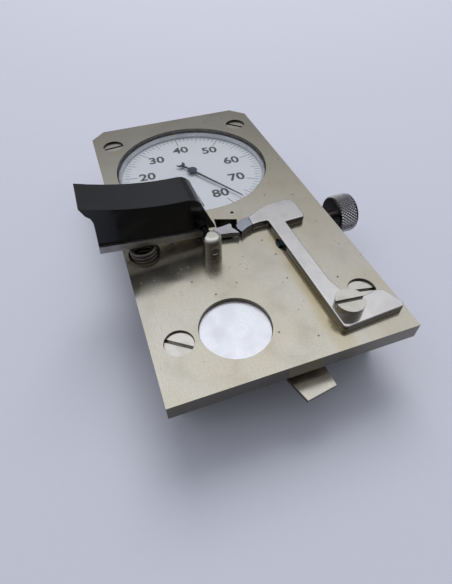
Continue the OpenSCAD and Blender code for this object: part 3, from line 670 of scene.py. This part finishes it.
NICKEL = SatinNickel("satin_nickel", "plate_nickel")
SCREW = WorkedMetal(
    "screw_head_steel", "screw_steel", (0.74, 0.71, 0.64), (0.56, 0.52, 0.45), 0.17, Axis.X,
    dark_sides=0.7,
)
POLISHED = WorkedMetal(
    "polished_steel", "tool_steel", (0.80, 0.775, 0.745), (0.66, 0.63, 0.60), 0.11, Axis.Y,
    dark_sides=0.85,
)
POST_STEEL = WorkedMetal(
    "turned_steel", "tool_steel", (0.70, 0.68, 0.60), (0.46, 0.43, 0.36), 0.17, Axis.Z,
    dark_sides=0.75,
)
JAW_STEEL = WorkedMetal(
    "ground_jaw_steel", "tool_steel", (0.58, 0.56, 0.59), (0.42, 0.40, 0.43), 0.2, Axis.X,
    dark_sides=0.6,
)
TIP_METAL = WorkedMetal(
    "hard_tip_metal", "hard_metal", (0.44, 0.46, 0.51), (0.32, 0.34, 0.39), 0.24, Axis.Y,
    dark_sides=0.85,
)
# painted shade: darker than bare steel, standing for the dark plate that the lever arm mirrors
ARM_STEEL_SHADED = WorkedMetal(
    "arm_steel_painted_shade", "dark_steel", (0.46, 0.45, 0.44), (0.28, 0.27, 0.26), 0.32, Axis.X
)
BLUED = WorkedMetal(
    "blued_screw_steel", "blued_steel", (0.085, 0.14, 0.15), (0.05, 0.075, 0.09), 0.3, Axis.X
)
NEEDLE_BLUE = WorkedMetal(
    "needle_blue", "dark_steel", (0.045, 0.055, 0.085), (0.03, 0.036, 0.05), 0.35, Axis.X,
    metal=0.6,
)
BRASS = WorkedMetal("turned_brass", "brass", (0.72, 0.55, 0.26), (0.50, 0.36, 0.16), 0.26, Axis.Y)
WIRE = WorkedMetal(
    "spring_wire", "spring_steel", (0.20, 0.18, 0.16), (0.10, 0.09, 0.08), 0.33, Axis.Z
)
KNURL = WorkedMetal(
    "knurled_steel", "knurl_steel", (0.62, 0.61, 0.62), (0.40, 0.39, 0.40), 0.25, Axis.X
)
# painted shade: the knob's blank is near black, standing for the shade in the knurl's valleys and on
# the knob's inner face
KNURL_VALLEY_SHADE = WorkedMetal(
    "knurl_valley_shade", "knurl_steel", (0.06, 0.055, 0.05), (0.035, 0.03, 0.028), 0.35, Axis.X
)
RING = WorkedMetal(
    "dial_wall_steel", "tool_steel", (0.70, 0.70, 0.72), (0.56, 0.56, 0.58), 0.30, Axis.Z
)
INNER_STEEL = WorkedMetal(
    "inner_steel", "tool_steel", (0.58, 0.58, 0.59), (0.42, 0.42, 0.43), 0.24, Axis.X
)
BADGE = WorkedMetal(
    "badge_plate", "badge_white", (0.97, 0.97, 1.0), (0.93, 0.93, 0.97), 0.30, Axis.X, metal=0.92
)
DIAL = Enamel("silvered_dial", "dial_silver", (0.74, 0.74, 0.76), (0.60, 0.60, 0.62), 0.5, 0.15, 5.0)
PAINT = HammerPaint("case_paint", "housing_paint")
COVER = WorkedMetal(
    "cover_steel", "dark_steel", (0.34, 0.34, 0.33), (0.20, 0.20, 0.19), 0.4, Axis.Y
)
RUBBER = MattSheet("base_rubber", "rubber_base")
FIBRE = MattSheet("brake_fibre", "fibre", (0.20, 0.09, 0.045), (0.30, 0.15, 0.08), 0.75, 3.0)
INK = MattSheet("dial_ink", "dark_steel", (0.055, 0.052, 0.060), (0.10, 0.10, 0.11), 0.6, 6.0, 0.002)
PAD = GlossResin("black_resin", "black_pad")
GLASS = ClearGlass("crystal", "crystal_glass")


def dress(piece: bpy.types.Object, finish: Finish, body: Optional[str] = None) -> None:
    """Give a piece its finish, and tie a new one to the body that it moves with.

    Args:
        piece: A CAD node or a new piece.
        finish: The finish for its whole surface.
        body: The body that a new piece rides, or None for a CAD node.
    """
    piece.data.materials.clear()
    piece.data.materials.append(finish.material())
    if body is not None:
        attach(piece, body)
    log.info("%s: %s, %d faces", piece.name, finish.name, len(piece.data.polygons))


def dress_nodes(finish: Finish, *nodes: str) -> None:
    """Give CAD nodes their finish as they are.

    Args:
        finish: The finish.
        *nodes: The nodes' names.
    """
    for node in nodes:
        dress(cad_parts[node], finish)


# ---------- sub-assemblies ----------


@dataclass
class TopPlate:
    """The nickel plate with its screws, badge and blued screw."""

    plate_edge: float = 0.16 * MM
    screw_edge: float = 0.22 * MM
    badge_edge: float = 0.12 * MM

    def build(self) -> None:
        """Finish the plate and everything let into it."""
        dress(finished_copy("top_plate", "plate_worked", self.plate_edge), NICKEL, "base")
        dress(finished_copy("plate_screws", "plate_screw_set", self.screw_edge), SCREW, "base")
        dress(finished_copy("badge_disc", "badge", self.badge_edge), BADGE, "base")
        dress(finished_copy("centre_screw", "blued_screw", self.screw_edge), BLUED, "base")


@dataclass
class Anvil:
    """The T-shaped arm with its hard tip and clamp screw."""

    arm_edge: float = 0.32 * MM
    tip_edge: float = 0.18 * MM
    screw_edge: float = 0.30 * MM

    def build(self) -> None:
        """Finish the fixed side of the measuring gap."""
        dress(finished_copy("anvil_arm", "anvil_polished", self.arm_edge, 3), POLISHED, "base")
        dress(finished_copy("anvil_tip", "anvil_hard_tip", self.tip_edge), TIP_METAL, "base")
        dress(finished_copy("anvil_screw", "anvil_clamp", self.screw_edge), SCREW, "base")


@dataclass
class DialHead:
    """The dial with its scale, numerals, wall ring, crystal and needle."""

    divisions: int = 80
    step_deg: float = 4.0
    first_deg: float = -160.0
    outer_r: float = 23.2 * MM
    line_w: float = 0.17 * MM
    ten_wider: float = 1.35
    ink_h: float = 0.012 * MM
    numeral_r: float = 15.4 * MM
    numeral_h: float = 5.6 * MM
    numeral_bold: float = 0.15 * MM
    numeral_turn: float = -4.0
    zero_shift: float = -8.0
    face_edge: float = 0.05 * MM
    lip_steps: int = 3
    lip_edge: float = 0.25 * MM

    def inner_r(self, mark: Mark) -> float:
        """Return the radius where a line of this kind starts."""
        return {Mark.UNIT: 21.5, Mark.FIVE: 20.2, Mark.TEN: 18.9}[mark] * MM

    def line(self, mark: Mark) -> bpy.types.Object:
        """Model one printed line, pointing away from the dial's centre along +Y.

        Args:
            mark: Which kind of line.

        Returns:
            The line, round the frame's origin.
        """
        start = self.inner_r(mark)
        pick_none()
        bpy.ops.mesh.primitive_plane_add(size=1.0, location=(0, (start + self.outer_r) / 2, 0))
        obj = bpy.context.object
        width = self.line_w * (self.ten_wider if mark is Mark.TEN else 1.0)
        obj.scale = (width, self.outer_r - start, 1.0)
        settle(obj)
        whole_mesh(obj)
        bpy.ops.mesh.extrude_region_move(TRANSFORM_OT_translate={"value": (0, 0, self.ink_h)})
        leave_mesh()
        outward(obj)
        obj.name = "line_" + mark.value
        return obj

    def scale_lines(self, centre: Vector) -> bpy.types.Object:
        """Copy the lines round the dial and join them.

        Args:
            centre: The middle of the dial's face.

        Returns:
            The printed scale.
        """
        kinds = {mark: self.line(mark) for mark in Mark}
        copies = []
        for count in range(self.divisions + 1):
            mark = Mark.TEN if count % 10 == 0 else Mark.FIVE if count % 5 == 0 else Mark.UNIT
            angle = -math.radians(self.first_deg + count * self.step_deg)
            turn = Matrix.Translation(centre) @ Matrix.Rotation(angle, 4, "Z")
            copies.append(copy_turned(kinds[mark], turn))
        for original in kinds.values():
            bpy.data.objects.remove(original)
        return join(copies, "dial_scale")

    def numeral(self, value: int, centre: Vector) -> bpy.types.Object:
        """Print one number, upright to the plate.

        Args:
            value: The number.
            centre: The middle of the dial's face.

        Returns:
            The number as a mesh, in place.
        """
        shift = self.zero_shift if value == 0 else 0.0
        angle = math.radians(self.first_deg + value * self.step_deg + shift)
        spot = centre + Vector((math.sin(angle), math.cos(angle), 0)) * self.numeral_r
        pick_none()
        bpy.ops.object.text_add(location=spot)
        obj = bpy.context.object
        obj.data.body = str(value)
        obj.data.size = self.numeral_h
        obj.data.offset = self.numeral_bold
        obj.data.extrude = self.ink_h / 2
        obj.data.align_x = "CENTER"
        obj.data.align_y = "CENTER"
        obj.data.resolution_u = 4
        obj.rotation_euler = (0, 0, math.radians(self.numeral_turn))
        obj.location.z += self.ink_h / 2
        take(obj)
        bpy.ops.object.convert(target="MESH")
        settle(obj)
        outward(obj)
        return obj

    def build(self) -> None:
        """Finish the dial and print it."""
        low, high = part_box("dial_plate")
        centre = Vector(((low.x + high.x) / 2, (low.y + high.y) / 2, high.z))
        dress(finished_copy("dial_plate", "dial_face", self.face_edge), DIAL, "base")
        dress(self.scale_lines(centre), INK, "base")
        numbers = [self.numeral(value, centre) for value in range(0, self.divisions + 1, 10)]
        dress(join(numbers, "dial_numerals"), INK, "base")
        ring = finished_copy("dial_ring", "dial_wall", self.lip_edge, self.lip_steps)
        dress(ring, RING, "base")
        dress(finished_copy("crystal", "crystal_pane", FINE_EDGE), GLASS, "base")
        dress_nodes(BRASS, "dial_spacer")
        dress(finished_copy("needle", "needle_blade", 0.0), NEEDLE_BLUE, "pointer")
        dress(finished_copy("needle_cap", "needle_hub", FINE_EDGE), NEEDLE_BLUE, "pointer")


@dataclass
class ReturnSpring:
    """The coil spring under the thumb lever's free end.

    Pressed is its length under the fully pressed lever, as a share of its length at rest. It is not
    used.
    """

    coil_r: float = 3.8 * MM
    wire_d: float = 0.8 * MM
    turns: int = 4
    steps: int = 32
    sides: int = 14
    pressed: float = 0.82

    def build(self) -> None:
        """Turn the wire's section round the coil's axis."""
        low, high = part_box("return_spring")
        axis = Vector(((low.x + high.x) / 2, (low.y + high.y) / 2, 0))
        height = high.z - low.z - self.wire_d
        pick_none()
        bpy.ops.mesh.primitive_circle_add(
            vertices=self.sides,
            radius=self.wire_d / 2,
            fill_type="NGON",
            location=(self.coil_r - self.wire_d / 2, 0, self.wire_d / 2),
            rotation=(math.pi / 2, 0, 0),
        )
        coil = bpy.context.object
        settle(coil)
        whole_mesh(coil)
        bpy.ops.mesh.delete(type="ONLY_FACE")
        leave_mesh()
        apply_modifier(
            coil,
            "SCREW",
            axis="Z",
            angle=math.radians(360),
            steps=self.steps,
            render_steps=self.steps,
            screw_offset=height / self.turns,
            iterations=self.turns,
            use_merge_vertices=False,
        )
        whole_mesh(coil)
        bpy.ops.mesh.remove_doubles(threshold=MERGE)
        bpy.ops.mesh.select_all(action="DESELECT")
        bpy.ops.mesh.select_mode(type="EDGE")
        bpy.ops.mesh.select_non_manifold()
        bpy.ops.mesh.fill_holes(sides=0)
        bpy.ops.mesh.select_all(action="SELECT")
        bpy.ops.mesh.normals_make_consistent(inside=False)
        bpy.ops.mesh.select_mode(type="VERT")
        leave_mesh()
        coil.location = axis + Vector((0, 0, low.z))
        settle(coil)
        coil.name = "return_coil"
        soft_shade(coil, 60.0)
        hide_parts("return_spring")
        dress(coil, WIRE, "base")
        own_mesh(coil)


@dataclass
class ThumbLever:
    """The steel lever arm with its resin thumb pad, post, axle, rear bearing and spring."""

    pad_edge: float = 0.45 * MM
    arm_edge: float = 0.2 * MM
    post_edge: float = 0.18 * MM
    bearing_edge: float = 0.1 * MM

    def build(self) -> None:
        """Finish the lever and what it turns in."""
        dress(finished_copy("thumb_pad", "pad_polished", self.pad_edge, 3, 42.0), PAD, "lever")
        dress(finished_copy("lever_arm", "arm_worked", self.arm_edge), ARM_STEEL_SHADED, "lever")
        dress(finished_copy("lever_post", "post_turned", self.post_edge, 3), POST_STEEL, "base")
        dress(finished_copy("lever_axle", "axle_ground", FINE_EDGE), POLISHED, "base")
        dress(finished_copy("rear_bearing", "bearing_worked", self.bearing_edge), ARM_STEEL_SHADED, "base")
        dress_nodes(INNER_STEEL, "pad_screws")
        ReturnSpring().build()


@dataclass
class JawSlide:
    """The moving jaw on its carriage, with the guides."""

    jaw_edge: float = 0.14 * MM

    def build(self) -> None:
        """Finish the jaw and dress the slide under the plate."""
        dress(finished_copy("jaw", "jaw_ground", self.jaw_edge), JAW_STEEL, "jaw_slider")
        dress_nodes(BRASS, "guide_blocks")
        dress_nodes(INNER_STEEL, "jaw_carriage", "jaw_screw", "drive_pin", "guide_rods", "guide_screws")


@dataclass
class KnurledKnob:
    """The knob on the right side, with its spindle, bush, nut and measuring spring."""

    segments: int = 96
    rim_bevel: float = 0.35 * MM
    rim_round: float = 0.1 * MM
    bite: float = 0.4 * MM
    sink: float = 0.04 * MM
    plain_end: float = 0.1 * MM
    fill: float = 0.93
    around: int = 40
    rows: int = 5
    dish_r: float = 3.9 * MM
    dish_depth: float = 0.5 * MM
    bush_edge: float = 0.15 * MM

    def blank(self, low: Vector, high: Vector) -> bpy.types.Object:
        """Turn the knob's body, with chamfered rims and a dished outer face.

        Args:
            low: The knob's lowest corner.
            high: Its highest corner.

        Returns:
            The plain turned body, in place.
        """
        radius = (high.z - low.z) / 2 - self.bite
        pick_none()
        bpy.ops.mesh.primitive_cylinder_add(
            vertices=self.segments,
            radius=radius,
            depth=high.x - low.x,
            location=(low + high) / 2,
            rotation=(0, math.pi / 2, 0),
        )
        body = bpy.context.object
        body.name = "knob_blank"
        settle(body)
        whole_mesh(body)
        bpy.ops.mesh.select_all(action="DESELECT")
        leave_mesh()
        for face in body.data.polygons:
            face.select = face.normal.x > 0.9
        bpy.ops.object.mode_set(mode="EDIT")
        bpy.ops.mesh.select_mode(type="FACE")
        bpy.ops.mesh.inset(thickness=radius - self.dish_r, depth=0)
        bpy.ops.mesh.inset(thickness=self.dish_depth, depth=-self.dish_depth)
        leave_mesh()
        for width, segments, sharper_than in ((self.rim_bevel, 1, 60), (self.rim_round, 2, 30)):
            apply_modifier(
                body,
                "BEVEL",
                width=width,
                segments=segments,
                limit_method="ANGLE",
                angle_limit=math.radians(sharper_than),
                use_clamp_overlap=True,
            )
        return body

    def diamonds(self, low: Vector, high: Vector) -> list[bpy.types.Object]:
        """Model one diamond of the knurl and copy it round the knob in staggered rows.

        Args:
            low: The knob's lowest corner.
            high: Its highest corner.

        Returns:
            The copies.
        """
        radius = (high.z - low.z) / 2
        middle = (low + high) / 2
        span = high.x - low.x - 2 * (self.rim_bevel + self.plain_end)
        pitch = span / self.rows
        side = 2 * math.pi * (radius - self.bite) / self.around
        tall = self.bite + self.sink
        pick_none()
        bpy.ops.mesh.primitive_cone_add(vertices=4, radius1=0.5, depth=1.0)
        diamond = bpy.context.object
        diamond.scale = (pitch * self.fill, side * self.fill, tall)
        settle(diamond)
        copies = []
        for row in range(2 * self.rows - 1):
            along = -span / 2 + pitch / 2 + row * pitch / 2
            for count in range(self.around):
                angle = 2 * math.pi * (count + 0.5 * (row % 2)) / self.around
                turn = (
                    Matrix.Translation(middle)
                    @ Matrix.Rotation(angle, 4, "X")
                    @ Matrix.Translation((along, 0, radius - tall / 2))
                )
                copies.append(copy_turned(diamond, turn))
        bpy.data.objects.remove(diamond)
        return copies

    def build(self) -> None:
        """Finish the knob and dress what it turns and moves."""
        low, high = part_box("knob")
        knob = self.blank(low, high)
        soft_shade(knob, 28.0)
        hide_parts("knob")
        # the blank is painted near black as the shade between the diamonds and on the inner face
        dress(knob, KNURL_VALLEY_SHADE, "adjuster")
        knurl = join(self.diamonds(low, high), "knob_knurl")
        soft_shade(knurl, 12.0)
        dress(knurl, KNURL, "adjuster")
        dress(finished_copy("knob_spindle", "spindle_ground", FINE_EDGE), POLISHED, "adjuster")
        dress(finished_copy("knob_bush", "bush_turned", self.bush_edge), BRASS, "base")
        dress_nodes(BRASS, "spring_anchor")
        dress_nodes(WIRE, "measuring_spring")


@dataclass
class CarriageLock:
    """The thin lever under the front edge, with its pillar, screw and brake shoe."""

    edge: float = 0.14 * MM

    def build(self) -> None:
        """Finish the lever and dress its fixings."""
        dress(finished_copy("lock_lever", "lock_worked", self.edge), NICKEL, "lock")
        dress_nodes(FIBRE, "lock_shoe")
        dress_nodes(INNER_STEEL, "lock_pillar", "lock_screw")


@dataclass
class Case:
    """The painted wall, the cover, the rubber pad and the cover screws."""

    wall_edge: float = 0.5 * MM
    cover_edge: float = 0.25 * MM
    rubber_edge: float = 0.3 * MM
    screw_edge: float = 0.18 * MM

    def build(self) -> None:
        """Finish the case."""
        dress(finished_copy("housing", "case_wall", self.wall_edge, 3), PAINT, "base")
        dress(finished_copy("base_cover", "case_cover", self.cover_edge), COVER, "base")
        dress(finished_copy("base_pad", "case_rubber", self.rubber_edge), RUBBER, "base")
        dress(finished_copy("cover_screws", "cover_screw_set", self.screw_edge), INNER_STEEL, "base")


class Movement:
    """The gear train between jaw and needle, dressed as it was made."""

    BRASS_NODES = (
        "movement_plate", "movement_bridge", "bridge_pillars", "sector_gear", "drive_wheel",
    )
    STEEL_NODES = (
        "sector_arbor", "wheel_pinion", "wheel_arbor", "centre_pinion", "centre_arbor",
        "hairspring_stud",
    )
    BLUED_NODES = ("movement_screws", "bridge_screws", "hairspring")

    def build(self) -> None:
        """Give the train its brass, steel and blued parts."""
        dress_nodes(BRASS, *self.BRASS_NODES)
        dress_nodes(INNER_STEEL, *self.STEEL_NODES)
        dress_nodes(BLUED, *self.BLUED_NODES)


# ---------- studio ----------


@dataclass
class Studio:
    """The pale floor, the soft lamp, the sky and the camera.

    The camera's place and its three axes are in the part's frame.
    """

    floor_size: float = 3.0
    floor_tint: Colour = (0.66, 0.67, 0.765)
    lamp_tint: Colour = (1.0, 0.985, 0.965)
    lamp_spot: tuple[float, float, float] = (0.2, 0.5, 0.8)
    lamp_size: float = 0.6
    lamp_power: float = 4.4
    sky_tint: Colour = (0.90, 0.93, 1.0)
    sky_low: float = 0.25
    sky_high: float = 1.02
    sky_front: float = 0.16
    lens: float = 24.73
    eye: tuple[float, float, float] = (-0.02954, -0.09402, 0.09504)
    right: tuple[float, float, float] = (0.9417, -0.3363, -0.0098)
    up: tuple[float, float, float] = (0.2611, 0.7120, 0.6518)
    back: tuple[float, float, float] = (-0.2122, -0.6164, 0.7583)

    def floor(self) -> None:
        """Lay a wide plain floor."""
        pick_none()
        bpy.ops.mesh.primitive_plane_add(size=self.floor_size, location=(0, 0, 0))
        obj = bpy.context.object
        obj.name = "studio_floor"
        recipe = Recipe("studio_floor_paper")
        grain = recipe.noise(recipe.stretched(0.5, 0.5, 0.5), 3.0)
        darker = tuple(0.97 * part for part in self.floor_tint)
        recipe.surface(
            Base_Color=recipe.blend(grain, self.floor_tint, darker),
            Roughness=0.85,
            Normal=recipe.relief(grain, 0.02 * MM, 0.2),
        )
        obj.data.materials.append(recipe.material)

    def lamp(self) -> None:
        """Hang one square soft lamp that faces the part and isn't mirrored in it."""
        data = bpy.data.lights.new("window", "AREA")
        data.shape = "SQUARE"
        data.size = self.lamp_size
        data.energy = self.lamp_power
        data.color = self.lamp_tint
        obj = bpy.data.objects.new("window", data)
        bpy.context.scene.collection.objects.link(obj)
        obj.location = self.lamp_spot
        obj.rotation_euler = (-Vector(self.lamp_spot)).to_track_quat("-Z", "Y").to_euler()
        obj.visible_glossy = False

    def sky(self) -> None:
        """Light the room softly: brightest overhead, dim at the horizon and on the user's side."""
        world = bpy.data.worlds.new("sky")
        world.use_nodes = True
        nodes, links = world.node_tree.nodes, world.node_tree.links
        split = nodes.new("ShaderNodeSeparateXYZ")
        links.new(nodes.new("ShaderNodeTexCoord").outputs["Generated"], split.inputs["Vector"])
        parts = []
        for axis, low, high, dim, bright in (
            ("Z", 0.40, 0.84, self.sky_low, self.sky_high),
            ("Y", -0.9, 0.3, self.sky_front, 1.0),
        ):
            reach = nodes.new("ShaderNodeMapRange")
            links.new(split.outputs[axis], reach.inputs["Value"])
            reach.inputs["From Min"].default_value = low
            reach.inputs["From Max"].default_value = high
            reach.inputs["To Min"].default_value = dim
            reach.inputs["To Max"].default_value = bright
            parts.append(reach.outputs["Result"])
        product = nodes.new("ShaderNodeMath")
        product.operation = "MULTIPLY"
        links.new(parts[0], product.inputs[0])
        links.new(parts[1], product.inputs[1])
        sky = nodes["Background"]
        sky.inputs["Color"].default_value = (*self.sky_tint, 1.0)
        links.new(product.outputs["Value"], sky.inputs["Strength"])
        bpy.context.scene.world = world

    def build(self) -> None:
        """Set up the floor, the lamp, the sky and the camera."""
        self.floor()
        self.lamp()
        self.sky()
        self.camera()
        bpy.context.scene.view_settings.view_transform = "Standard"

    def camera(self) -> None:
        """Look at the part from above its front left corner."""
        data = bpy.data.cameras.new("camera")
        data.lens = self.lens
        data.sensor_width = 36.0
        data.clip_start = 0.005
        data.clip_end = 20.0
        obj = bpy.data.objects.new("camera", data)
        bpy.context.scene.collection.objects.link(obj)
        axes = Matrix((self.right, self.up, self.back)).transposed().to_4x4()
        obj.matrix_world = Matrix.Translation(self.eye) @ axes
        bpy.context.scene.camera = obj


def main() -> None:
    logging.basicConfig(level=logging.INFO, format="%(name)s %(message)s")
    for part in (
        TopPlate(), Anvil(), DialHead(), ThumbLever(), JawSlide(), KnurledKnob(),
        CarriageLock(), Case(), Movement(), Studio(),
    ):
        part.build()
        log.info("%s done", type(part).__name__)


if __name__ == "__main__":
    main()
